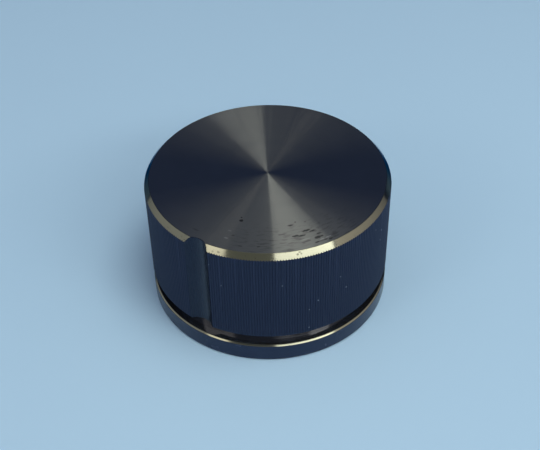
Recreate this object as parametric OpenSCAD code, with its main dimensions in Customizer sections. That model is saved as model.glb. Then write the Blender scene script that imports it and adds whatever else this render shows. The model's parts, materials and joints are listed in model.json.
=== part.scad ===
// Control knob for a 6 mm potentiometer or switch shaft.
// One turned aluminium body: a plain base flange, a deep turned groove, a straight-knurled grip with
// a chamfered top and one milled pointer flute. The underside has a recess that clears the panel nut,
// a blind shaft bore, and a tapped cross hole with a socket set screw that grips the shaft.
// Millimetres. The origin is on the shaft axis at the base, +Z is up, and the flute faces -Y.

/* [Knob body] */
// Outside diameter over the knurl and over the base flange
knob_d = 38; // [34:0.5:50]
// Height from the base to the top face
knob_h = 21.6; // [20.5:0.1:30]
// Width of the chamfer round the top face, seen from above
top_chamfer_w = 0.75; // [0.3:0.05:2]
// Height of that chamfer, seen from the side
top_chamfer_h = 0.9; // [0.3:0.05:2]
// Leg of the 45 degree edge break on the other turned edges
edge_break = 0.25; // [0.1:0.05:0.4]

/* [Knurled grip] */
// Distance from one knurl groove to the next, round the grip
knurl_pitch = 0.4; // [0.4:0.05:1.2]
// Depth of each knurl groove
knurl_depth = 0.1; // [0.05:0.01:0.18]
// Included angle of the knurling tool's teeth
knurl_angle = 90; // [60:1:90]

/* [Base flange and groove] */
// Height of the plain flange at the base
flange_h = 3.2; // [2:0.1:5]
// Height of the turned groove between the flange and the grip
groove_h = 1.9; // [1:0.1:3]
// Depth of the turned groove
groove_depth = 1.4; // [1.2:0.1:4]

/* [Pointer flute] */
// Diameter of the cutter that mills the flute
flute_d = 5; // [3:0.1:7]
// Depth of the flute below the outside of the grip
flute_depth = 1.1; // [0.5:0.1:1.3]

/* [Underside and shaft bore] */
// Diameter of the recess that clears the panel nut and washer
recess_d = 20; // [16:0.5:26]
// Depth of that recess
recess_depth = 5; // [4:0.1:6]
// Diameter of the shaft bore, for a 6 mm shaft
bore_d = 6.05; // [5.9:0.05:8]
// Depth of the full-diameter bore above the recess
bore_depth = 12; // [9:0.1:12.5]
// Leg of the 45 degree lead-in at the mouth of the bore
bore_lead_in = 0.5; // [0.2:0.1:1]
// Point angle of the drill that leaves the blind end of the bore
drill_angle = 118; // [90:1:140]

/* [Set screw] */
// Thread diameter of the set screw
screw_d = 4; // [3.5:0.5:5]
// Length of the set screw
screw_l = 6; // [5:0.5:10]
// Width across the flats of the hexagon socket
socket_flats = 2; // [1.3:0.1:2.5]
// Depth of the hexagon socket
socket_depth = 2.4; // [1.2:0.1:3]
// Diameter of the cup point
cup_d = 2; // [1:0.1:2.4]
// Included angle of the cup point's hollow
cup_angle = 120; // [90:1:130]
// Leg of the 45 degree chamfer on the socket end
screw_chamfer = 0.35; // [0.2:0.05:0.5]
// Gap from the cup point to the bore wall, with no shaft fitted
screw_back_off = 0.3; // [0.1:0.1:1]
// Gap all round between the screw and its tapped hole
thread_clearance = 0.03; // [0.01:0.01:0.1]
// Leg of the 45 degree countersink at the outer end of the tapped hole
hole_countersink = 0.5; // [0.3:0.1:1]

/* [Hidden] */

// How far every cut runs past the face that it opens
overrun = 1;
// Radius of the drilled start of the socket, as a share of half its width across the flats
pilot_share = 0.9;
// Smoothness of the turned faces
$fn = 240;

knob_r = knob_d / 2;
grip_z = flange_h + groove_h;
core_r = knob_r - groove_depth;

knurl_count = round(PI * knob_d / knurl_pitch);
knurl_step = 360 / knurl_count;
knurl_half_width = knurl_depth * tan(knurl_angle / 2);
knurl_half_turn = asin(knurl_half_width / knob_r);

recess_r = recess_d / 2;
bore_r = bore_d / 2;
bore_end_z = recess_depth + bore_depth;
drill_point_h = bore_r / tan(drill_angle / 2);

screw_r = screw_d / 2;
screw_z = recess_depth + bore_depth / 2;
screw_tip_y = bore_r + screw_back_off;
hole_r = screw_r + thread_clearance;
cup_r = cup_d / 2;
cup_h = cup_r / tan(cup_angle / 2);
socket_corner_r = socket_flats / 2 / cos(30);
pilot_r = pilot_share * socket_flats / 2;
socket_point_h = pilot_r / tan(drill_angle / 2);

// A point at a radius and an angle, for the outline of the knurl.
function polar(radius, angle) = [radius * cos(angle), radius * sin(angle)];

// The grip's cross-section: flat lands parted by V grooves. A groove lies on the -Y axis, so the
// two sides of the pointer flute are mirror images.
function knurl_outline() = [
    for (i = [0 : knurl_count - 1])
        let (groove = i * knurl_step - 90)
            for (point = [
                polar(knob_r, groove - knurl_half_turn),
                polar(knob_r - knurl_depth, groove),
                polar(knob_r, groove + knurl_half_turn)
            ])
                point
];

// The space that the chamfering tools leave: a flat top and bottom, with sloping sides that run past the
// knurl lands.
module grip_envelope() {
    top_slope = top_chamfer_h / top_chamfer_w;
    rotate_extrude()
        polygon([
            [0, grip_z],
            [knob_r - edge_break, grip_z],
            [knob_r + overrun, grip_z + edge_break + overrun],
            [knob_r + overrun, knob_h - (top_chamfer_w + overrun) * top_slope],
            [knob_r - top_chamfer_w, knob_h],
            [0, knob_h]
        ]);
}

// The knurled grip, chamfered at both ends.
module knurled_grip() {
    intersection() {
        translate([0, 0, grip_z - overrun])
            linear_extrude(height = knob_h - grip_z + 2 * overrun)
                polygon(knurl_outline());
        grip_envelope();
    }
}

// The flange, and the core that carries the grip above the groove.
module turned_base() {
    core_top_z = (grip_z + knob_h) / 2;
    rotate_extrude()
        polygon([
            [0, 0],
            [knob_r - edge_break, 0],
            [knob_r, edge_break],
            [knob_r, flange_h - edge_break],
            [knob_r - edge_break, flange_h],
            [core_r, flange_h],
            [core_r, core_top_z],
            [0, core_top_z]
        ]);
}

// The cutter's path for the pointer flute, from the groove out through the top face.
module flute_cut() {
    flute_start_z = flange_h + groove_h / 2;
    translate([0, -(knob_r - flute_depth + flute_d / 2), flute_start_z])
        cylinder(d = flute_d, h = knob_h - flute_start_z + overrun);
}

// The nut recess and the blind shaft bore, turned from the underside.
module underside_cut() {
    rotate_extrude()
        polygon([
            [0, -overrun],
            [recess_r + edge_break + overrun, -overrun],
            [recess_r, edge_break],
            [recess_r, recess_depth],
            [bore_r + bore_lead_in, recess_depth],
            [bore_r, recess_depth + bore_lead_in],
            [bore_r, bore_end_z],
            [0, bore_end_z + drill_point_h]
        ]);
}

// The tapped cross hole for the set screw, on the side away from the flute.
module screw_hole_cut() {
    countersink_r = hole_r + hole_countersink;
    translate([0, 0, screw_z])
        rotate([-90, 0, 0]) {
            cylinder(r = hole_r, h = knob_r + overrun);
            translate([0, 0, knob_r - hole_countersink])
                cylinder(r1 = hole_r, r2 = countersink_r + overrun, h = hole_countersink + overrun);
        }
}

// The whole turned, knurled, milled and drilled body.
module knob_body() {
    color("#16181d")
        difference() {
            union() {
                knurled_grip();
                turned_base();
            }
            flute_cut();
            underside_cut();
            screw_hole_cut();
        }
}

// The set screw's outline from its axis outwards, with the cup point at the start.
module screw_blank() {
    point_h = screw_r - cup_r;
    rotate_extrude()
        polygon([
            [0, cup_h],
            [cup_r, 0],
            [screw_r, point_h],
            [screw_r, screw_l - screw_chamfer],
            [screw_r - screw_chamfer, screw_l],
            [0, screw_l]
        ]);
}

// The hexagon socket, with the cone that its drilled start leaves.
module socket_cut() {
    translate([0, 0, screw_l - socket_depth])
        cylinder(r = socket_corner_r, h = socket_depth + overrun, $fn = 6);
    translate([0, 0, screw_l - socket_depth - socket_point_h])
        cylinder(r1 = 0, r2 = pilot_r, h = socket_point_h);
}

// The set screw in its hole, backed off just far enough to let the shaft in.
module set_screw() {
    color("#2a2b2e")
        translate([0, screw_tip_y, screw_z])
            rotate([-90, 0, 0])
                difference() {
                    screw_blank();
                    socket_cut();
                }
}

knob_body();
set_screw();
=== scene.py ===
"""Finishes a black anodised control knob: its turned, knurled body, its set screw and a plain stage."""

import json
import math

import bpy
import numpy as np
from bpy.props import FloatProperty, FloatVectorProperty, PointerProperty
from mathutils import Matrix, Quaternion, Vector


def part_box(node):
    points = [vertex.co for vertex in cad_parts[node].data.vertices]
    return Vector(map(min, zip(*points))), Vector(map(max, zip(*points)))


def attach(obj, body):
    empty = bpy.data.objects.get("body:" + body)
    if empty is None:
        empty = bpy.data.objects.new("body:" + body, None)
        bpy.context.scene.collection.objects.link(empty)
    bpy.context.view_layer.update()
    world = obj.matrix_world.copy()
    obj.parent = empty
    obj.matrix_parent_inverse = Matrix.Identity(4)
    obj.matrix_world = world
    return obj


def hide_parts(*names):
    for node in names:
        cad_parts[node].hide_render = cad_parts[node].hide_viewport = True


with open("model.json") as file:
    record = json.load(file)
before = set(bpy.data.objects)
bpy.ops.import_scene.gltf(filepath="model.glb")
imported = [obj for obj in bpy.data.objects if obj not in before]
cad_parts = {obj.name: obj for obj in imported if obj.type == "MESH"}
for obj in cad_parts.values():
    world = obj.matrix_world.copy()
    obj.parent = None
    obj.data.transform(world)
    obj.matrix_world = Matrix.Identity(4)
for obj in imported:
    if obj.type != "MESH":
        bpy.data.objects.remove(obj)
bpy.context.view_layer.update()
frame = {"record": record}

bl_info = {
    "name": "Control knob",
    "version": (1, 0, 0),
    "blender": (4, 5, 0),
    "location": "3D View > Sidebar > Knob",
    "description": "Makes a turned, knurled and anodised control knob with its set screw",
    "category": "Add Mesh",
}

MM = 0.001
BODY = "root"

BODY_LOW, BODY_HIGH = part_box("knob_body")
SCREW_LOW, SCREW_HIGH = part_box("set_screw")
SHAFT_BORE = next(mount for mount in frame["record"]["mounts"] if mount["name"] == "shaft_bore")


def length(name, description, default):
    """A length setting, in metres."""
    return FloatProperty(
        name=name, description=description, default=default, min=0.0, unit="LENGTH", precision=6
    )


def angle(name, description, degrees):
    """An angle setting, given in degrees and kept in radians."""
    return FloatProperty(
        name=name, description=description, default=math.radians(degrees), unit="ROTATION", subtype="ANGLE"
    )


def colour(name, description, default):
    """A colour setting, in linear red, green and blue."""
    return FloatVectorProperty(
        name=name, description=description, default=default, size=3, min=0.0, subtype="COLOR"
    )


class KnobSizes(bpy.types.PropertyGroup):
    """Sizes of the turned body."""

    diameter: length("Diameter", "Over the knurl and over the flange", BODY_HIGH.x - BODY_LOW.x)
    height: length("Height", "From the base to the top face", BODY_HIGH.z - BODY_LOW.z)
    chamfer_width: length("Chamfer width", "Width of the top chamfer, seen from above", 0.75 * MM)
    chamfer_height: length("Chamfer height", "Height of the top chamfer, seen from the side", 0.9 * MM)
    edge_break: length("Edge break", "Leg of the chamfer on the other turned edges", 0.25 * MM)
    milled_edge: length("Milled edge", "Leg of the small break where the flute cuts an edge", 0.06 * MM)
    softness: length("Softness", "Reach of the fine rounding on every machined edge", 0.05 * MM)
    inner_corner: length("Inner corner", "Reach of the tool's rounding in an inner corner", 0.02 * MM)
    knurl_pitch: length("Knurl pitch", "From one knurl groove to the next", 0.4 * MM)
    knurl_depth: length("Knurl depth", "Depth of the sharp V of a knurl groove", 0.10 * MM)
    knurl_floor: length("Knurl floor", "Width of the flat at the bottom of a knurl groove", 0.02 * MM)
    flange_height: length("Flange height", "Height of the plain flange", 3.2 * MM)
    groove_height: length("Groove height", "Height of the turned groove", 1.9 * MM)
    groove_depth: length("Groove depth", "Depth of the turned groove", 1.4 * MM)
    flute_cutter: length("Flute cutter", "Diameter of the cutter that mills the flute", 5.0 * MM)
    flute_depth: length("Flute depth", "Depth of the flute below the grip", 1.1 * MM)
    recess_diameter: length("Recess diameter", "Diameter of the nut recess", 20.0 * MM)
    recess_depth: length("Recess depth", "Depth of the nut recess", 5.0 * MM)
    bore_radius: length("Bore radius", "Radius of the shaft bore", SHAFT_BORE["dims"]["r_mm"] * MM)
    bore_depth: length("Bore depth", "Depth of the bore above the recess", 12.0 * MM)
    bore_lead_in: length("Bore lead-in", "Leg of the chamfer at the mouth of the bore", 0.5 * MM)
    drill_angle: angle("Drill angle", "Point angle at the blind end of the bore", 118.0)


class ScrewSizes(bpy.types.PropertyGroup):
    """Sizes of the set screw and of its tapped hole."""

    diameter: length("Diameter", "Over the thread", SCREW_HIGH.x - SCREW_LOW.x)
    length: length("Length", "From the cup point to the socket end", SCREW_HIGH.y - SCREW_LOW.y)
    tip: length("Tip", "From the shaft axis to the cup point", SCREW_LOW.y)
    height: length("Height", "From the base to the screw's axis", (SCREW_LOW.z + SCREW_HIGH.z) / 2)
    pitch: length("Pitch", "From one turn of the thread to the next", 0.7 * MM)
    thread_depth: length("Thread depth", "From the crest to the root of the thread", 0.43 * MM)
    thread_clearance: length("Thread clearance", "Gap between the screw and its hole", 0.03 * MM)
    socket_flats: length("Socket flats", "Width of the hexagon socket across its flats", 2.0 * MM)
    socket_depth: length("Socket depth", "Depth of the hexagon socket", 2.4 * MM)
    cup_diameter: length("Cup diameter", "Diameter of the cup point", 2.0 * MM)
    cup_depth: length("Cup depth", "Depth of the cup point's hollow", 0.57 * MM)
    end_chamfer: length("End chamfer", "Leg of the chamfer on the socket end", 0.35 * MM)
    countersink: length("Countersink", "Leg of the chamfer at the mouth of the hole", 0.5 * MM)


class FinishColours(bpy.types.PropertyGroup):
    """Colours of the finishes."""

    film: colour("Film", "Black anodic film where it's satin", (0.0112, 0.0182, 0.0430))
    sheen: colour("Sheen", "Tint of the satin film's shine", (0.53, 0.66, 1.0))
    worn_film: colour("Worn film", "Film rubbed thin on the knurl's teeth", (0.025, 0.036, 0.076))
    turned: colour("Turned", "Shine of the film over a bright turned face", (0.206, 0.213, 0.217))
    bright: colour("Bright", "Shine of the film over a sharply cut chamfer", (0.150, 0.153, 0.125))
    groove: colour("Groove", "Shine of the film inside the turned groove", (0.200, 0.204, 0.225))
    bright_edge: colour("Bright edge", "Share of that shine left at a low angle", (0.16, 0.24, 0.38))
    mark: colour("Mark", "Dried marks on the top face", (0.020, 0.020, 0.024))
    dust: colour("Dust", "Specks of dust", (0.20, 0.24, 0.30))
    oxide: colour("Black oxide", "Blackened steel of the set screw", (0.10, 0.10, 0.105))
    floor: colour("Floor", "Plain pale floor", (0.45, 0.67, 0.92))


class StageSettings(bpy.types.PropertyGroup):
    """The camera's place."""

    azimuth: angle("Azimuth", "Camera's turn round the knob from the flute's side", 33.9)
    elevation: angle("Elevation", "Camera's height above the horizon", 41.14)
    roll: angle("Roll", "Camera's turn about its own line of sight", -1.24)
    distance: length("Distance", "From the camera to the middle of the knob", 164.1 * MM)
    aside: length("Aside", "Aim right of the knob's middle", 0.2 * MM)
    above: length("Above", "Aim above the knob's middle", 0.1 * MM)
    lens: FloatProperty(name="Lens", description="Focal length in millimetres", default=68.2)


# Finishes of the body, in the order of its material slots.
TOP, CHAMFER, GRIP, FLUTE, GROOVE, SIDE, UNDERSIDE, THREAD = range(8)


def grip_outline(sizes):
    """Bearing from the flute, radius and flute mask of each upright line of the grip.

    A knurl groove is a 90 degree V with a narrow flat floor, so each tooth has four lines: two at the
    floor and two at the land. Inside the flute the lines are spaced evenly round the cutter's circle:
    across = a sin(swing) and out = centre - a cos(swing), for a cutter of radius a.
    """
    flute_lines = 29
    radius = sizes.diameter / 2
    count = round(math.pi * sizes.diameter / sizes.knurl_pitch)
    step = 2 * math.pi / count
    mouth = math.asin(sizes.knurl_depth / radius)
    floor = math.asin(sizes.knurl_floor / 2 / radius)
    floor_radius = radius - sizes.knurl_depth + sizes.knurl_floor / 2
    bearing = (np.arange(count)[:, None] * step + [-floor, floor, mouth, step - mouth]).ravel()
    bearing = (bearing + math.pi) % (2 * math.pi) - math.pi
    radii = np.tile([floor_radius, floor_radius, radius, radius], count)

    cutter = sizes.flute_cutter / 2
    centre = radius - sizes.flute_depth + cutter
    edge = math.acos((radius**2 + centre**2 - cutter**2) / (2 * radius * centre))
    swing_end = math.atan2(radius * math.sin(edge), centre - radius * math.cos(edge))
    swing = np.linspace(-swing_end, swing_end, flute_lines)
    across, out = cutter * np.sin(swing), centre - cutter * np.cos(swing)

    kept = np.abs(bearing) > edge
    bearing = np.concatenate([bearing[kept], np.arctan2(across, out)])
    radii = np.concatenate([radii[kept], np.hypot(across, out)])
    in_flute = np.arange(len(bearing)) >= kept.sum()
    order = np.argsort(bearing)
    return bearing[order], radii[order], in_flute[order]


def soften(corners, reaches, steps):
    """Rows of a profile whose corners are rounded.

    Each corner becomes a quadratic curve from a point short of it to a point past it, with the corner as
    the control point: (1-t)^2 before + 2t(1-t) corner + t^2 after. A reach of zero keeps one plain row,
    and no reach is more than a share of the shorter side. Gives the rows, and the corner that each row
    belongs to.
    """
    most_of_side = 0.4
    rows, owners = [], []
    last = len(corners) - 1
    for index, (corner, reach) in enumerate(zip(corners, reaches)):
        if reach == 0.0:
            rows.append(corner[None])
            owners.append([index])
            continue
        back = corners[index - 1] - corner
        ahead = corners[min(index + 1, last)] - corner
        back_length = np.linalg.norm(back, axis=-1, keepdims=True)
        ahead_length = np.linalg.norm(ahead, axis=-1, keepdims=True)
        reach = np.minimum(reach, most_of_side * np.minimum(back_length, ahead_length))
        before = corner + back / back_length * reach
        after = corner + ahead / ahead_length * reach
        t = np.linspace(0.0, 1.0, steps)[:, None, None]
        rows.append((1 - t) ** 2 * before + 2 * t * (1 - t) * corner + t**2 * after)
        owners.append([index] * steps)
    return np.concatenate(rows), np.concatenate(owners)


def body_profile(sizes, radii):
    """Rows of the body from the top's centre round to the blind end of the bore, and each row's finish.

    Every corner is a radius and a height for each upright line. On the grip the two chamfers are cones, so
    their legs shrink where a knurl groove or the flute lies deeper, down to the small milled edge.
    """
    top_ring_shares = (0.0, 0.03, 0.30, 0.60, 0.90)
    full = sizes.diameter / 2
    grip_foot = sizes.flange_height + sizes.groove_height
    core = full - sizes.groove_depth
    recess, bore = sizes.recess_diameter / 2, sizes.bore_radius
    bore_end = sizes.recess_depth + sizes.bore_depth
    drill_end = bore_end + bore / math.tan(sizes.drill_angle / 2)
    flat = full - sizes.chamfer_width
    upper = np.maximum(radii - flat, sizes.milled_edge)
    drop = upper * sizes.chamfer_height / sizes.chamfer_width
    lower = np.maximum(radii - (full - sizes.edge_break), sizes.milled_edge)
    soft, inner, break_leg = sizes.softness, sizes.inner_corner, sizes.edge_break
    table = [
        *[(share * flat, sizes.height, 0.0, TOP) for share in top_ring_shares],
        (radii - upper, sizes.height, soft, CHAMFER),
        (radii, sizes.height - drop, soft, GRIP),
        (radii, (sizes.height + grip_foot) / 2, 0.0, GRIP),
        (radii, grip_foot + lower, soft, GRIP),
        (radii - lower, grip_foot, soft, GROOVE),
        (core, grip_foot, inner, GROOVE),
        (core, sizes.flange_height, inner, GROOVE),
        (full - break_leg, sizes.flange_height, soft, CHAMFER),
        (full, sizes.flange_height - break_leg, soft, SIDE),
        (full, break_leg, soft, SIDE),
        (full - break_leg, 0.0, soft, UNDERSIDE),
        (recess + break_leg, 0.0, soft, UNDERSIDE),
        (recess, break_leg, soft, UNDERSIDE),
        (recess, sizes.recess_depth, inner, UNDERSIDE),
        (bore + sizes.bore_lead_in, sizes.recess_depth, soft, UNDERSIDE),
        (bore, sizes.recess_depth + sizes.bore_lead_in, soft, UNDERSIDE),
        (bore, bore_end, soft, UNDERSIDE),
        (0.0, drill_end, 0.0, UNDERSIDE),
    ]
    corners = [np.stack(np.broadcast_arrays(out, up, radii)[:2], axis=-1) for out, up, _, _ in table]
    rows, owners = soften(corners, [reach for _, _, reach, _ in table], steps=3)
    return rows, np.array([finish for _, _, _, finish in table])[owners]


def closed_mesh(name, points, finishes):
    """A mesh from a grid of points that closes on itself sideways and ends in a pole at each end.

    The first and the last row each hold one place, kept as a single vertex. Faces between two rows are
    quads, and those at a pole are triangles. finishes holds a slot for each face of the grid.
    """
    rows, lines = points.shape[:2]
    vertices = np.concatenate([points[:1, 0], points[1:-1].reshape(-1, 3), points[-1:, 0]])
    here = 1 + np.arange((rows - 2) * lines).reshape(rows - 2, lines)
    beside = np.roll(here, -1, axis=1)
    first = np.stack([np.zeros(lines, int), here[0], beside[0]], axis=1)
    quads = np.stack([here[:-1], here[1:], beside[1:], beside[:-1]], axis=-1).reshape(-1, 4)
    last = np.stack([here[-1], np.full(lines, len(vertices) - 1), beside[-1]], axis=1)
    mesh = bpy.data.meshes.new(name)
    mesh.from_pydata(vertices.tolist(), [], first.tolist() + quads.tolist() + last.tolist())
    mesh.polygons.foreach_set("material_index", finishes.ravel().astype(np.int32))
    mesh.update()
    return mesh


def new_object(name, data):
    """An object in the scene for a mesh, a light or a camera."""
    made = bpy.data.objects.new(name, data)
    bpy.context.scene.collection.objects.link(made)
    return made


def body_mesh(sizes):
    """The whole body: each profile row swung round the shaft axis.

    A point at bearing b from the flute and radius r lies at (r sin b, -r cos b), so the flute faces -Y.
    """
    bearing, radii, in_flute = grip_outline(sizes)
    rows, finish = body_profile(sizes, radii)
    points = np.stack(
        [rows[..., 0] * np.sin(bearing), -rows[..., 0] * np.cos(bearing), rows[..., 1]], axis=-1
    )
    finishes = np.repeat(finish[:-1, None], len(bearing), axis=1)
    milled = in_flute & np.roll(in_flute, -1)
    inside = radii < sizes.diameter / 2 - sizes.chamfer_width + sizes.milled_edge
    past_chamfer = milled & inside & np.roll(inside, -1)
    above = rows[:-1, :, 1] > sizes.flange_height + sizes.groove_height
    finishes[(finishes == GRIP) & milled] = FLUTE
    finishes[(finishes == CHAMFER) & above & past_chamfer] = FLUTE
    return closed_mesh("turned_knob", points, finishes)


def thread_radius(screw, turn, along):
    """Radius of the thread at an angle and a distance along the screw.

    The distance in pitches less the angle in turns gives a phase, whose triangle wave is cut off below a
    quarter for the root flat and above seven eighths for the crest flat.
    """
    root, crest = 0.25, 0.875
    phase = (along / screw.pitch - turn / (2 * math.pi)) % 1.0
    wave = 1.0 - np.abs(2.0 * phase - 1.0)
    share = np.clip((wave - root) / (crest - root), 0.0, 1.0)
    return screw.diameter / 2 - screw.thread_depth * (1.0 - share)


def round_the_screw_axis(screw, radius, along, turn):
    """Points at a radius, a distance from the cup point and an angle round the screw's axis, along +Y."""
    radius, along, turn = np.broadcast_arrays(radius, along, turn)
    return np.stack(
        [radius * np.sin(turn), screw.tip + along, screw.height + radius * np.cos(turn)], axis=-1
    )


def tapped_hole_mesh(knob, screw):
    """The solid that the drill, the tap and the countersink take away, from the mouth inwards.

    Its radius is the thread's plus the clearance where the thread shows, widened by the countersink's
    cone at the mouth, and plain behind the screw's socket end.
    """
    lines, rows_in_pitch = 64, 10
    overrun = 1.0 * MM
    bore_share = 0.3
    turn = np.linspace(0.0, 2 * math.pi, lines, endpoint=False)
    mouth = knob.diameter / 2 - screw.tip
    outer = mouth + overrun
    inner = bore_share * knob.bore_radius - screw.tip
    thread_end = screw.length - screw.pitch
    threaded = np.arange(mouth - screw.countersink, thread_end, -screw.pitch / rows_in_pitch)
    along = np.concatenate([[outer, outer], threaded, [thread_end, inner, inner]])[:, None]
    plain = screw.diameter / 2 + screw.thread_clearance
    radius = thread_radius(screw, turn, along) + screw.thread_clearance
    radius = np.where(along > thread_end, radius, plain)
    radius = np.maximum(radius, plain + screw.countersink - (mouth - along))
    radius[[0, -1]] = 0.0
    points = round_the_screw_axis(screw, radius, along, turn)
    return closed_mesh("tapped_hole", points, np.full(points[:-1].shape[:2], THREAD))


def screw_mesh(screw):
    """The set screw, from the bottom of its socket over the end face and the thread to the cup point.

    The socket's wall is a hexagon: half the flats over cos of the angle from the nearest flat's middle. Its
    floor is the cone that a pilot drill leaves. The thread is cut off by the cones of the point and of the
    end chamfer.
    """
    lines, rows_in_pitch = 96, 12
    rim = 0.08 * MM
    pilot_share, pilot_cone = 0.9, 0.6
    turn = np.linspace(0.0, 2 * math.pi, lines, endpoint=False)
    sixth = math.pi / 3
    half_flats = screw.socket_flats / 2
    hexagon = half_flats / np.cos((turn + sixth / 2) % sixth - sixth / 2)
    full, top, cup = screw.diameter / 2, screw.length, screw.cup_diameter / 2
    floor, pilot = top - screw.socket_depth, pilot_share * half_flats
    socket = [
        (0.0, floor - pilot_cone * pilot),
        (pilot, floor),
        (hexagon, floor),
        (hexagon, top - rim),
        (hexagon + rim, top),
    ]
    threaded = np.arange(top, 0.0, -screw.pitch / rows_in_pitch)[:, None]
    cones = np.minimum(cup + threaded, full - screw.end_chamfer + (top - threaded))
    thread = np.minimum(thread_radius(screw, turn, threaded), cones)
    radius = [np.broadcast_to(out, turn.shape) for out, _ in socket] + list(thread)
    along = [up for _, up in socket] + list(threaded[:, 0])
    radius += [np.full(turn.shape, cup), np.zeros(turn.shape)]
    along += [0.0, screw.cup_depth]
    points = round_the_screw_axis(screw, np.stack(radius), np.array(along)[:, None], turn)
    return closed_mesh("socket_set_screw", points, np.zeros(points[:-1].shape[:2]))


def settle(piece):
    """Puts the result of the piece's modifiers in place of its mesh."""
    bpy.context.view_layer.update()
    made = bpy.data.meshes.new_from_object(piece.evaluated_get(bpy.context.evaluated_depsgraph_get()))
    spent = piece.data
    piece.modifiers.clear()
    piece.data = made
    made.name = piece.name
    bpy.data.meshes.remove(spent)


def cut_away(piece, cutter):
    """Takes the cutter's solid out of the piece, and removes the cutter."""
    faces = len(piece.data.polygons)
    cut = piece.modifiers.new("cut", "BOOLEAN")
    cut.operation = "DIFFERENCE"
    cut.solver = "EXACT"
    cut.object = cutter
    settle(piece)
    if len(piece.data.polygons) <= faces:
        raise RuntimeError("the tapped hole didn't cut the body")
    spent = cutter.data
    bpy.data.objects.remove(cutter)
    bpy.data.meshes.remove(spent)


def shade(piece, crease_degrees=30.0):
    """Smooth shading in which wide faces stay flat, and edges sharper than the crease stay crisp.

    The mesh is in millimetres for the step that weighs the faces, which overlooks areas as small as theirs
    in metres.
    """
    piece.data.polygons.foreach_set("use_smooth", np.ones(len(piece.data.polygons), bool))
    piece.data.set_sharp_from_angle(angle=math.radians(crease_degrees))
    piece.data.transform(Matrix.Scale(1 / MM, 4))
    even = piece.modifiers.new("even", "WEIGHTED_NORMAL")
    even.mode = "FACE_AREA"
    even.keep_sharp = True
    even.thresh = 0.0
    settle(piece)
    piece.data.transform(Matrix.Scale(MM, 4))


class Finish:
    """A material being made: short calls add a node, fill its inputs and give its output."""

    def __init__(self, name):
        self.material = bpy.data.materials.new(name)
        self.material.use_nodes = True
        self.tree = self.material.node_tree
        self.tree.nodes.clear()
        self.shader = self.add("ShaderNodeBsdfPrincipled")
        self.surface = self.add("ShaderNodeOutputMaterial").inputs["Surface"]
        self.tree.links.new(self.shader.outputs["BSDF"], self.surface)
        here = self.add("ShaderNodeTexCoord").outputs["Object"]
        self.place = self.vector("MULTIPLY", here, (1 / MM,) * 3)
        self.flat_place = self.vector("MULTIPLY", self.place, (1.0, 1.0, 0.0))
        self.radius = self.vector("LENGTH", self.flat_place)
        self.outward = self.vector("NORMALIZE", self.flat_place)
        split = self.add("ShaderNodeSeparateXYZ", {0: self.place}).outputs
        self.height = split["Z"]
        self.bearing = self.math("ARCTAN2", split["X"], self.math("MULTIPLY", split["Y"], -1.0))

    def put(self, socket, value):
        """Links an output to the socket, or sets the socket's own value."""
        if isinstance(value, bpy.types.NodeSocket):
            self.tree.links.new(value, socket)
        else:
            socket.default_value = value

    def add(self, kind, inputs=None, **settings):
        """A node with its settings made and its inputs filled."""
        node = self.tree.nodes.new(kind)
        for key, value in settings.items():
            setattr(node, key, value)
        for key, value in (inputs or {}).items():
            self.put(node.inputs[key], value)
        return node

    def math(self, operation, *values):
        """A sum on single numbers."""
        return self.add("ShaderNodeMath", dict(enumerate(values)), operation=operation).outputs[0]

    def vector(self, operation, *values):
        """A sum on vectors."""
        node = self.add("ShaderNodeVectorMath", dict(enumerate(values)), operation=operation)
        return node.outputs["Value" if operation == "LENGTH" else "Vector"]

    def noise(self, place, scale, detail=2.0):
        """Even noise from 0 to 1 in space, with the scale in waves to the millimetre."""
        inputs = {"Vector": place, "Scale": scale, "Detail": detail}
        return self.add("ShaderNodeTexNoise", inputs).outputs["Fac"]

    def lines(self, along, scale, detail=2.0):
        """Noise from 0 to 1 along one number, for tool marks."""
        node = self.add("ShaderNodeTexNoise", {"Scale": scale, "Detail": detail}, noise_dimensions="1D")
        self.put(node.inputs["W"], along)
        return node.outputs["Fac"]

    def ramp(self, value, start, end, low=0.0, high=1.0):
        """A smooth step from low at the start to high at the end."""
        inputs = {0: value, 1: start, 2: end, 3: low, 4: high}
        return self.add("ShaderNodeMapRange", inputs, interpolation_type="SMOOTHSTEP").outputs[0]

    def tint(self, share, first, second):
        """The first colour, turning to the second with the share."""
        inputs = {0: share, 6: as_colour(first), 7: as_colour(second)}
        return self.add("ShaderNodeMix", inputs, data_type="RGBA").outputs[2]

    def bump(self, height, depth, under=None):
        """The surface's normal, tilted by a height from 0 to 1 that stands for a depth in millimetres."""
        inputs = {"Height": height, "Distance": depth * MM, "Strength": 1.0}
        if under is not None:
            inputs["Normal"] = under
        return self.add("ShaderNodeBump", inputs).outputs["Normal"]

    def fan(self, share, **sockets):
        """Puts in a share of a shine that spreads along the tangent and hardly across it.

        At full anisotropy the main shader spreads along by its squared roughness over sqrt(0.1). This one
        spreads along by its own over narrow, so its roughness is scaled by the root of their ratio, to
        reach as far.
        """
        main_narrow = math.sqrt(0.1)
        narrow = 0.16
        scale = math.sqrt(narrow / main_narrow)
        sockets["Roughness"] = self.math("MULTIPLY", sockets["Roughness"], scale)
        glossy = self.add("ShaderNodeBsdfAnisotropic", sockets, distribution="GGX")
        glossy.inputs["Anisotropy"].default_value = narrow - 1.0
        shaders = {0: share, 1: self.shader.outputs["BSDF"], 2: glossy.outputs["BSDF"]}
        self.tree.links.new(self.add("ShaderNodeMixShader", shaders).outputs[0], self.surface)

    def done(self, **sockets):
        """Sets the shader's sockets by name, with _ for a space, and gives the material."""
        for key, value in sockets.items():
            self.put(self.shader.inputs[key.replace("_", " ")], value)
        return self.material


def as_colour(value):
    """A linear colour with full alpha, or an output as it is."""
    return value if isinstance(value, bpy.types.NodeSocket) else (*value, 1.0)


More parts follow.
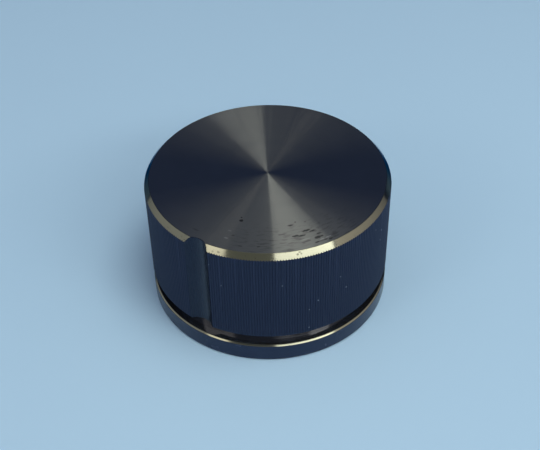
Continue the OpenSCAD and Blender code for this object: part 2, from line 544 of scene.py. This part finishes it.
# Dried marks on the top face: distance from the axis, bearing from the flute in degrees, half the length
# along the turning and half the width across it in millimetres, and strength.
TOP_MARKS = (
    (11.8, 14.3, 0.34, 0.30, 0.8),
    (11.1, 13.2, 0.15, 0.14, 0.8),
    (12.8, 48.1, 0.45, 0.18, 0.8),
    (14.6, 55.6, 0.75, 0.22, 0.8),
    (15.0, 58.7, 0.50, 0.18, 0.8),
    (15.2, 48.4, 0.60, 0.18, 0.8),
    (15.4, 51.8, 0.65, 0.20, 0.8),
    (16.6, 58.6, 0.60, 0.30, 0.8),
    (16.6, 60.6, 0.40, 0.18, 0.8),
    (15.9, 60.6, 0.40, 0.16, 0.7),
    (17.7, 63.7, 0.40, 0.16, 0.7),
    (12.3, 52.1, 0.16, 0.12, 0.6),
    (12.8, 58.3, 0.18, 0.12, 0.5),
    (17.5, 56.9, 0.45, 0.16, 0.8),
    (17.5, 61.5, 0.35, 0.14, 0.7),
    (16.8, 52.7, 0.80, 0.12, 0.5),
    (16.5, 44.9, 0.60, 0.12, 0.4),
    (14.5, 40.9, 0.60, 0.12, 0.4),
    (15.2, 14.3, 0.30, 0.16, 0.4),
    (17.1, 20.1, 0.40, 0.16, 0.4),
    (16.9, 28.7, 0.30, 0.16, 0.5),
    (16.6, -5.3, 0.60, 0.18, 0.3),
)

# Light streaks beside those marks, as above.
TOP_STREAKS = (
    (16.0, 11.5, 0.40, 0.14, 0.60),
    (14.4, 11.1, 0.30, 0.14, 0.35),
    (17.2, 63.5, 0.50, 0.12, 0.60),
    (17.2, 60.1, 0.45, 0.12, 0.50),
    (16.3, 52.5, 0.70, 0.12, 0.25),
)

# Nicks in the chamfer, as above, but with the height in place of the distance from the axis.
CHAMFER_NICKS = (
    (21.2, 46.3, 0.24, 0.14, 0.40),
    (21.4, 47.3, 0.20, 0.10, 0.40),
    (21.2, 47.9, 0.16, 0.10, 0.35),
    (21.0, 8.7, 0.18, 0.12, 0.30),
    (21.1, 11.3, 0.24, 0.14, 0.35),
)

# Specks of dust on the grip, laid out like the nicks. Each is round.
GRIP_SPECKS = (
    (11.4, 55.8, 0.14, 0.14, 1.0),
    (10.0, 51.5, 0.10, 0.10, 1.0),
    (6.2, 51.5, 0.12, 0.12, 1.0),
    (11.7, 70.5, 0.12, 0.12, 1.0),
    (14.5, 67.0, 0.10, 0.10, 1.0),
    (18.7, 90.4, 0.14, 0.14, 1.0),
    (17.0, 96.8, 0.14, 0.14, 1.0),
    (15.3, 95.9, 0.10, 0.10, 1.0),
    (15.8, 39.3, 0.12, 0.12, 1.0),
    (18.4, 6.6, 0.12, 0.12, 1.0),
    (14.8, 12.0, 0.10, 0.10, 1.0),
)

# Refractive index of the anodic film.
FILM_IOR = 1.5


def spots(finish, across, places):
    """How much of each place is covered by ragged oval spots.

    across is a number that runs across the spots, the radius on the top and the height elsewhere. A
    spot's oval distance is the sum of the squares of (across - its own)/half width and of (bearing - its
    own) times the radius/half length. Noise scales that distance, which makes the edge ragged, and the
    spot fades out from the inside distance to the outside one.
    """
    outside, inside = 1.2, 0.3
    grain = finish.noise(finish.place, scale=2.6, detail=3.0)
    ragged = finish.ramp(grain, start=0.25, end=0.75, low=0.55, high=1.45)
    covered = 0.0
    for middle, bearing, half_length, half_width, strength in places:
        apart = finish.math("DIVIDE", finish.math("SUBTRACT", across, middle), half_width)
        turn = finish.math("SUBTRACT", finish.bearing, math.radians(bearing))
        along = finish.math("DIVIDE", finish.math("MULTIPLY", turn, finish.radius), half_length)
        oval = finish.math("ADD", finish.math("POWER", apart, 2.0), finish.math("POWER", along, 2.0))
        spot = finish.ramp(finish.math("MULTIPLY", oval, ragged), outside, inside, high=strength)
        covered = finish.math("MAXIMUM", covered, spot)
    return covered


def shades(tone, low, high):
    """A darker and a lighter shade of a colour."""
    return [low * part for part in tone], [high * part for part in tone]


def smears(finish):
    """How much of each place is smeared by handling, along the turning and near the front rim.

    The noise lies on the radius and a stretched bearing, so its patches run along the turning. They fade in
    towards the rim, and fade out on both sides of the middle bearing.
    """
    stretch = 3.8
    middle, none_beyond, full_within = 0.85, 0.8, 0.25
    most = 0.42
    along = finish.math("MULTIPLY", finish.bearing, stretch)
    unrolled = finish.add("ShaderNodeCombineXYZ", {0: finish.radius, 1: along}).outputs[0]
    patches = finish.ramp(finish.noise(unrolled, scale=2.6, detail=4.0), start=0.47, end=0.70)
    aside = finish.math("ABSOLUTE", finish.math("SUBTRACT", finish.bearing, middle))
    near_front = finish.ramp(aside, start=none_beyond, end=full_within)
    near_rim = finish.ramp(finish.radius, start=10.5, end=16.5)
    handled = finish.math("MULTIPLY", near_rim, near_front)
    return finish.math("MULTIPLY", finish.math("MULTIPLY", patches, handled), most)


def turned_top(colours):
    """Face turned to the centre: rings too fine to see stretch each highlight along the radius.

    The tool's feed leaves the rings leaning a little outwards. Near the front rim the face is smeared, and
    a few drops have dried on it.
    """
    outward_lean = 0.07
    fan_share = 0.65
    mark_roughness = 0.05
    streak_lift = 2.2
    finish = Finish("turned_top")
    rings = finish.lines(finish.radius, scale=9.0, detail=3.0)
    broad_rings = finish.lines(finish.radius, scale=0.7)
    rays = finish.noise(finish.outward, scale=26.0)
    marks = spots(finish, finish.radius, TOP_MARKS)
    streaks = spots(finish, finish.radius, TOP_STREAKS)
    cloud = finish.noise(finish.place, scale=0.25, detail=3.0)
    clean = finish.tint(cloud, *shades(colours.turned, low=0.92, high=1.08))
    smeared = finish.tint(smears(finish), clean, colours.mark)
    streaked = finish.tint(streaks, smeared, [streak_lift * part for part in colours.turned])
    shine = finish.tint(marks, streaked, colours.mark)
    rough = finish.ramp(broad_rings, start=0.3, end=0.7, low=0.28, high=0.30)
    rough = finish.math("ADD", rough, finish.ramp(rays, start=0.3, end=0.7, high=0.03))
    rough = finish.math("ADD", rough, finish.math("MULTIPLY", marks, mark_roughness))
    lean = finish.vector("MULTIPLY", finish.outward, (outward_lean,) * 3)
    leaning = finish.vector("NORMALIZE", finish.vector("ADD", lean, (0.0, 0.0, 1.0)))
    normal = finish.bump(rings, depth=0.0012, under=leaning)
    finish.fan(fan_share, Color=shine, Roughness=rough, Tangent=finish.outward, Normal=normal)
    return finish.done(
        Base_Color=shine,
        Metallic=1.0,
        Roughness=rough,
        Anisotropic=1.0,
        Tangent=finish.outward,
        Normal=normal,
    )


def bright_turned(name, colours, shine, metal, rough, nick_places=()):
    """Film over a face cut with a sharp tool: nearly a mirror, with faint rings and a few dull nicks.

    shine is its colour, metal is how far it shines as metal, and rough is its least and most roughness. At
    a low angle the light crosses more of the film, so less comes back.
    """
    nick_roughness = 0.3
    least, most = rough
    finish = Finish(name)
    dull, clean = shades(shine, low=0.4, high=1.0)
    rings = finish.lines(finish.math("ADD", finish.radius, finish.height), scale=9.0)
    pits = finish.ramp(finish.noise(finish.place, scale=3.5), start=0.69, end=0.75)
    nicks = finish.math("MAXIMUM", pits, spots(finish, finish.height, nick_places))
    cloud = finish.noise(finish.place, scale=0.5)
    even = finish.ramp(cloud, start=0.3, end=0.7, low=least, high=most)
    return finish.done(
        Base_Color=finish.tint(nicks, clean, dull),
        Specular_Tint=as_colour(colours.bright_edge),
        Metallic=metal,
        Roughness=finish.math("ADD", even, finish.math("MULTIPLY", nicks, nick_roughness)),
        Normal=finish.bump(rings, depth=0.0008),
    )


def knurled_grip(colours):
    """Knurled film: satin, rubbed thin on some teeth towards the top, with specks of dust."""
    finish = Finish("knurled_grip")
    teeth = finish.ramp(finish.noise(finish.outward, scale=80.0, detail=1.0), start=0.50, end=0.75)
    rubbed = finish.math("MULTIPLY", teeth, finish.ramp(finish.height, start=8.0, end=20.5))
    film = finish.tint(rubbed, colours.film, colours.worn_film)
    dust = spots(finish, finish.height, GRIP_SPECKS)
    grain = finish.noise(finish.place, scale=12.0, detail=3.0)
    return finish.done(
        Base_Color=finish.tint(dust, film, colours.dust),
        Roughness=finish.ramp(grain, start=0.25, end=0.75, low=0.64, high=0.74),
        Specular_Tint=as_colour(colours.sheen),
        IOR=FILM_IOR,
        Normal=finish.bump(grain, depth=0.002),
    )


def milled_flute(colours):
    """Flute swept by a round cutter: satin, with faint upright lines, its film painted darker than the
    grip's as shade in the hollow.
    """
    line_stretch = (9.0, 9.0, 0.25)
    finish = Finish("milled_flute")
    strokes = finish.noise(finish.vector("MULTIPLY", finish.place, line_stretch), scale=1.0)
    cloud = finish.noise(finish.place, scale=0.6)
    return finish.done(
        # Painted shade: the film here is a fifth to two fifths of the grip's, darker for the shade in the
        # flute's hollow.
        Base_Color=finish.tint(cloud, *shades(colours.film, low=0.20, high=0.40)),
        Roughness=finish.ramp(strokes, start=0.3, end=0.7, low=0.25, high=0.31),
        Specular_Tint=as_colour(colours.sheen),
        IOR=FILM_IOR,
        Normal=finish.bump(strokes, depth=0.0015),
    )


def satin_turned(name, colours, rough):
    """Satin film on the flange, underneath and in the tapped hole, with rings from the tool.

    rough is its least and most roughness.
    """
    least, most = rough
    finish = Finish(name)
    rings = finish.lines(finish.math("ADD", finish.radius, finish.height), scale=8.0, detail=3.0)
    cloud = finish.noise(finish.place, scale=0.4, detail=3.0)
    return finish.done(
        Base_Color=finish.tint(cloud, *shades(colours.film, low=0.8, high=1.25)),
        Roughness=finish.ramp(cloud, start=0.3, end=0.7, low=least, high=most),
        Specular_Tint=as_colour(colours.sheen),
        IOR=FILM_IOR,
        Normal=finish.bump(rings, depth=0.0015),
    )


def blackened_steel(colours):
    """Blackened steel: oily dark oxide with a brighter, rubbed bloom."""
    finish = Finish("blackened_steel")
    bloom = finish.noise(finish.place, scale=1.5, detail=4.0)
    grain = finish.noise(finish.place, scale=14.0)
    return finish.done(
        Base_Color=finish.tint(bloom, *shades(colours.oxide, low=0.6, high=1.6)),
        Metallic=1.0,
        Roughness=finish.ramp(bloom, start=0.3, end=0.7, low=0.32, high=0.48),
        Normal=finish.bump(grain, depth=0.002),
    )


def pale_floor(colours):
    """Plain pale floor with the least unevenness of tone."""
    finish = Finish("pale_floor")
    cloud = finish.noise(finish.place, scale=0.01)
    return finish.done(
        Base_Color=finish.tint(cloud, *shades(colours.floor, low=0.98, high=1.02)),
        Roughness=0.85,
        Specular_IOR_Level=0.2,
    )


class KNOB_OT_body(bpy.types.Operator):
    """Make the turned, knurled and milled body, with its tapped hole"""

    bl_idname = "knob.body"
    bl_label = "Turned body"

    def execute(self, context):
        scene = context.scene
        sizes = scene.knob_sizes
        colours = scene.knob_colours
        piece = new_object("turned_knob", body_mesh(sizes))
        for material in (
            turned_top(colours),
            bright_turned(
                "bright_chamfer",
                colours,
                shine=colours.bright,
                metal=1.0,
                rough=(0.10, 0.14),
                nick_places=CHAMFER_NICKS,
            ),
            knurled_grip(colours),
            milled_flute(colours),
            bright_turned("bright_groove", colours, shine=colours.groove, metal=0.95, rough=(0.08, 0.11)),
            satin_turned("satin_side", colours, rough=(0.20, 0.28)),
            satin_turned("satin_underside", colours, rough=(0.28, 0.38)),
            satin_turned("satin_thread", colours, rough=(0.30, 0.40)),
        ):
            piece.data.materials.append(material)
        cut_away(piece, new_object("tapped_hole", tapped_hole_mesh(sizes, scene.knob_screw)))
        shade(piece)
        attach(piece, BODY)
        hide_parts("knob_body")
        return {"FINISHED"}


class KNOB_OT_set_screw(bpy.types.Operator):
    """Make the socket set screw with its thread"""

    bl_idname = "knob.set_screw"
    bl_label = "Set screw"

    def execute(self, context):
        scene = context.scene
        piece = new_object("socket_set_screw", screw_mesh(scene.knob_screw))
        piece.data.materials.append(blackened_steel(scene.knob_colours))
        shade(piece)
        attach(piece, BODY)
        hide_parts("set_screw")
        return {"FINISHED"}


# Soft boxes, each from one direction to another as seen from the knob: name, the two directions as a turn
# from the camera's azimuth and an elevation in degrees, breadth in metres, radiance at each end, and tone.
SOFT_BOXES = (
    ("key_box", (4.5, 37.4), (57.5, 29.9), 0.10, (5.1, 6.9), (1.0, 0.98, 0.86)),
    ("right_corner_box", (42.0, 46.0), (64.0, 46.0), 0.06, (4.2, 4.2), (1.0, 0.95, 0.78)),
    ("overhead_box", (10.0, 79.0), (68.6, 61.9), 0.344, (4.5, 4.1), (1.0, 0.985, 0.83)),
    ("left_glow_box", (6.0, 79.0), (-62.0, 62.0), 0.344, (0.58, 0.20), (1.0, 0.985, 0.87)),
    ("right_glow_box", (72.0, 60.5), (97.0, 48.0), 0.344, (0.72, 0.35), (1.0, 0.985, 0.87)),
    ("left_box", (-39.5, 34.5), (-59.0, 31.5), 0.14, (3.9, 3.9), (1.0, 0.92, 0.76)),
    ("left_corner_box", (-39.5, 46.0), (-76.0, 46.0), 0.06, (1.3, 1.3), (1.0, 0.90, 0.70)),
    ("middle_box", (-39.5, 32.5), (4.5, 35.5), 0.08, (0.36, 0.36), (1.0, 0.95, 0.62)),
    ("right_fill_box", (59.5, 31.0), (119.6, 5.6), 0.13, (1.6, 0.52), (1.0, 0.89, 0.74)),
    ("left_fill_box", (-61.0, 29.0), (-124.0, 3.5), 0.13, (0.9, 0.8), (1.0, 0.96, 0.84)),
)

# Distance of every box from the knob's middle, in metres.
BOX_DISTANCE = 0.6

# The dim room: how far up a direction points where the walls end and where the ceiling begins, from 0 on
# the level to 1 overhead, and their colours.
WALLS_END, WALLS_COLOUR = 0.66, (0.056, 0.078, 0.146, 1.0)
CEILING_START, CEILING_COLOUR = 0.87, (0.32, 0.34, 0.355, 1.0)


def direction(azimuth, elevation):
    """Unit vector from the knob, where azimuth 0 is -Y and turns to +X."""
    level = math.cos(elevation)
    return Vector((math.sin(azimuth) * level, -math.cos(azimuth) * level, math.sin(elevation)))


def soft_box(settings, target, name, first, other, breadth, radiances, tone):
    """An area light that spans from one direction to another, faces the target and fades evenly along.

    Its energy is pi times its area, so the strength of its emission is its radiance.
    """
    ends = [
        BOX_DISTANCE * direction(settings.azimuth + math.radians(turn), math.radians(elevation))
        for turn, elevation in (first, other)
    ]
    span = ends[1] - ends[0]
    middle = (ends[0] + ends[1]) / 2
    light = bpy.data.lights.new(name, "AREA")
    light.shape = "RECTANGLE"
    light.size, light.size_y = span.length, breadth
    light.energy = math.pi * span.length * breadth
    light.color = tone
    light.use_nodes = True
    tree = light.node_tree
    place = tree.nodes.new("ShaderNodeNewGeometry")
    split = tree.nodes.new("ShaderNodeSeparateXYZ")
    fade = tree.nodes.new("ShaderNodeMapRange")
    fade.inputs["To Min"].default_value, fade.inputs["To Max"].default_value = radiances
    tree.links.new(place.outputs["Parametric"], split.inputs[0])
    tree.links.new(split.outputs["X"], fade.inputs["Value"])
    tree.links.new(fade.outputs[0], tree.nodes["Emission"].inputs["Strength"])
    lamp = new_object(name, light)
    lamp.location = target + middle
    away, along = middle.normalized(), span.normalized()
    lamp.rotation_mode = "QUATERNION"
    lamp.rotation_quaternion = Matrix((along, away.cross(along), away)).transposed().to_quaternion()


def studio_world():
    """A dim room with a lighter ceiling."""
    world = bpy.data.worlds.new("studio")
    world.use_nodes = True
    tree = world.node_tree
    place = tree.nodes.new("ShaderNodeTexCoord")
    split = tree.nodes.new("ShaderNodeSeparateXYZ")
    ramp = tree.nodes.new("ShaderNodeValToRGB")
    tree.links.new(place.outputs["Generated"], split.inputs[0])
    tree.links.new(split.outputs["Z"], ramp.inputs[0])
    tree.links.new(ramp.outputs[0], tree.nodes["Background"].inputs["Color"])
    walls, ceiling = ramp.color_ramp.elements
    walls.position, walls.color = WALLS_END, WALLS_COLOUR
    ceiling.position, ceiling.color = CEILING_START, CEILING_COLOUR
    bpy.context.scene.world = world


def lay_floor(colours):
    """A square floor under the knob."""
    half = 3.0
    mesh = bpy.data.meshes.new("floor")
    corners = [(-half, -half, 0.0), (half, -half, 0.0), (half, half, 0.0), (-half, half, 0.0)]
    mesh.from_pydata(corners, [], [(0, 1, 2, 3)])
    floor = new_object("floor", mesh)
    mesh.materials.append(pale_floor(colours))


def place_camera(settings, middle):
    """A camera that looks at the knob's middle, shifted a little aside and above."""
    nearest, farthest = 0.01, 20.0
    data = bpy.data.cameras.new("camera")
    data.lens = settings.lens
    data.clip_start, data.clip_end = nearest, farthest
    camera = new_object("camera", data)
    towards = direction(settings.azimuth, settings.elevation)
    look = towards.to_track_quat("Z", "Y") @ Quaternion((0.0, 0.0, 1.0), settings.roll)
    aim = middle + look @ Vector((settings.aside, settings.above, 0.0))
    camera.location = aim + towards * settings.distance
    camera.rotation_mode = "QUATERNION"
    camera.rotation_quaternion = look
    return camera


class KNOB_OT_stage(bpy.types.Operator):
    """Make the floor, the soft lights and the camera"""

    bl_idname = "knob.stage"
    bl_label = "Stage"

    def execute(self, context):
        scene = context.scene
        settings = scene.knob_stage
        middle = Vector((0.0, 0.0, scene.knob_sizes.height / 2))
        lay_floor(scene.knob_colours)
        for row in SOFT_BOXES:
            soft_box(settings, middle, *row)
        studio_world()
        scene.view_settings.view_transform = "Standard"
        scene.camera = place_camera(settings, middle)
        return {"FINISHED"}


class VIEW3D_PT_knob(bpy.types.Panel):
    """Lists the knob's settings and the steps that make it"""

    bl_label = "Control knob"
    bl_space_type = "VIEW_3D"
    bl_region_type = "UI"
    bl_category = "Knob"

    def draw(self, context):
        for name in SETTINGS:
            group = getattr(context.scene, name)
            box = self.layout.box()
            for key in group.bl_rna.properties.keys():
                if key not in ("rna_type", "name"):
                    box.prop(group, key)
        for operator in OPERATORS:
            self.layout.operator(operator.bl_idname)


SETTINGS = {
    "knob_sizes": KnobSizes,
    "knob_screw": ScrewSizes,
    "knob_colours": FinishColours,
    "knob_stage": StageSettings,
}
OPERATORS = (KNOB_OT_stage, KNOB_OT_body, KNOB_OT_set_screw)
CLASSES = (*SETTINGS.values(), *OPERATORS, VIEW3D_PT_knob)


def register():
    """Registers the classes and hangs the settings on the scene."""
    for cls in CLASSES:
        bpy.utils.register_class(cls)
    for name, group in SETTINGS.items():
        setattr(bpy.types.Scene, name, PointerProperty(type=group))


def unregister():
    """Takes the settings and the classes away again."""
    for name in SETTINGS:
        delattr(bpy.types.Scene, name)
    for cls in reversed(CLASSES):
        bpy.utils.unregister_class(cls)


def main():
    """Makes the stage and the pieces."""
    register()
    bpy.ops.knob.stage()
    bpy.ops.knob.body()
    bpy.ops.knob.set_screw()


if __name__ == "__main__":
    main()
